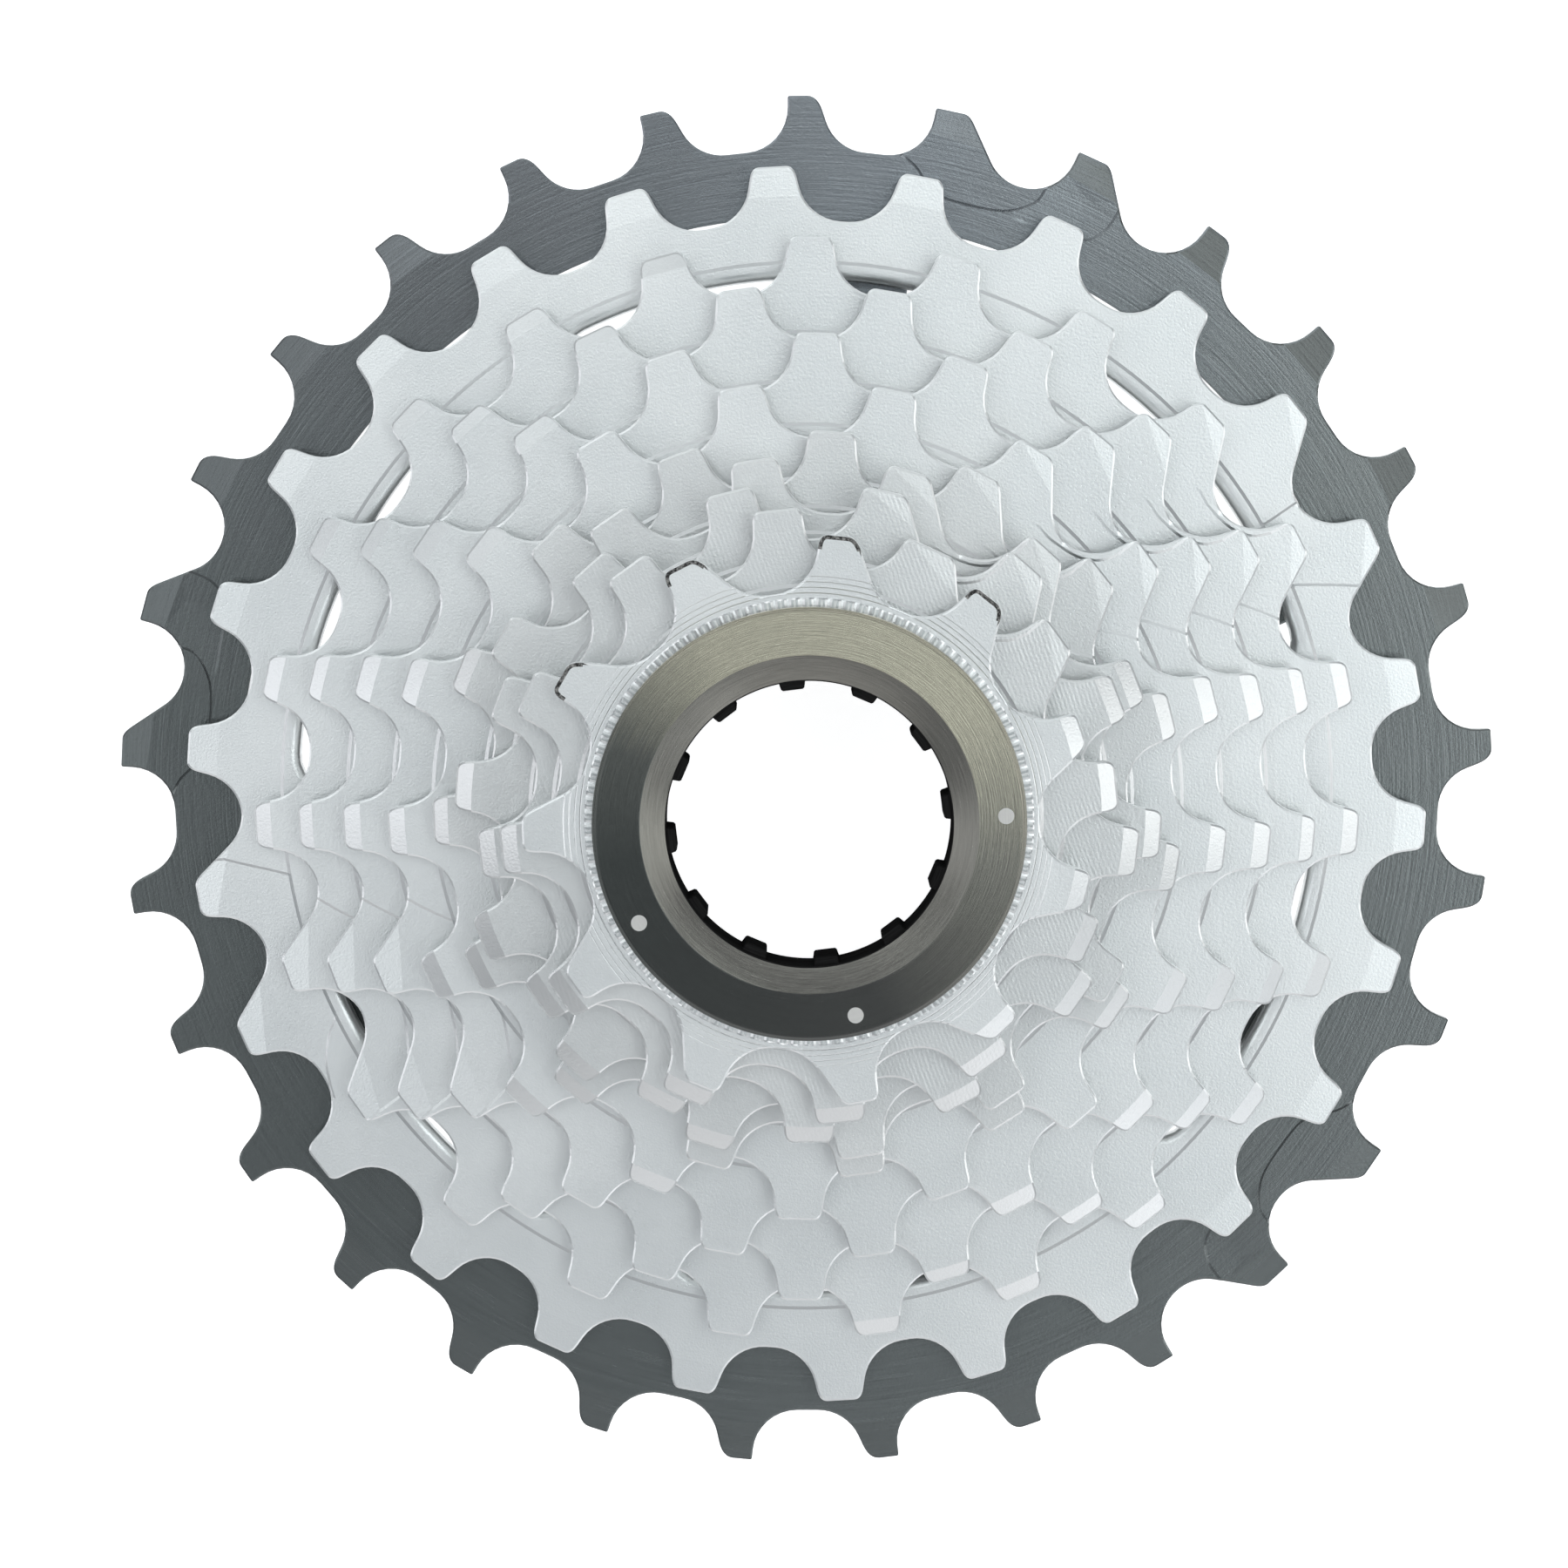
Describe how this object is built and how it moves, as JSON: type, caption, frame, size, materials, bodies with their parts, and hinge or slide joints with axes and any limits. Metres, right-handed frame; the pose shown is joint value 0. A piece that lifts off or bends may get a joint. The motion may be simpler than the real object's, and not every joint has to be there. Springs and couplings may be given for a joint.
{
  "type": "cassette sprocket",
  "caption": "Road bicycle cassette: a cone of loose splined sprockets, ring spacers between them and a threaded lockring at the small end.",
  "frame": {"origin": "on the common axis at the back face of the largest sprocket, the face that seats against the freehub's shoulder", "axes": "+Z along the axis from the largest sprocket towards the lockring; +Y is up in the reference view and +X is right; the part lies flat on its largest sprocket"},
  "size_m": [0.119, 0.1189, 0.0424],
  "materials": {
    "dark_sprocket": "dark grey hard anodised, fine turning marks, satin",
    "steel_sprocket": "satin silver plated steel, lightly bead blasted, bright turned tip bevels",
    "spacer": "plain turned alloy",
    "lockring": "black anodised, circular turning marks with a streaked sheen"
  },
  "bodies": {
    "sprocket_stack": {"sprocket_29t": "dark_sprocket", "sprocket_26t": "steel_sprocket", "sprocket_23t": "steel_sprocket", "sprocket_21t": "steel_sprocket", "sprocket_19t": "steel_sprocket", "sprocket_17t": "steel_sprocket", "sprocket_15t": "steel_sprocket", "sprocket_14t": "steel_sprocket", "sprocket_13t": "steel_sprocket", "sprocket_12t": "steel_sprocket", "spacer_29_26": "spacer", "spacer_26_23": "spacer", "spacer_23_21": "spacer", "spacer_21_19": "spacer", "spacer_19_17": "spacer", "spacer_17_15": "spacer", "spacer_15_14": "spacer", "spacer_14_13": "spacer", "spacer_13_12": "spacer", "spacer_12_11": "spacer"},
    "end_sprocket": {"sprocket_11t": "steel_sprocket"},
    "lockring": {"lockring": "lockring"}
  },
  "joints": [
    {"name": "end_sprocket_slide", "type": "slide", "parent": "sprocket_stack", "child": "end_sprocket", "axis": [0, 0, 1], "range_m": [0, 0.0058]},
    {"name": "lockring_turn", "type": "hinge", "parent": "end_sprocket", "child": "lockring", "pos_m": [0, 0, 0.04], "axis": [0, 0, 1], "range_deg": [0, 2088]}
  ],
  "couplings": [
    {"joint": "end_sprocket_slide", "follows": "lockring_turn", "m_per_rad": 0.00015915}
  ]
}
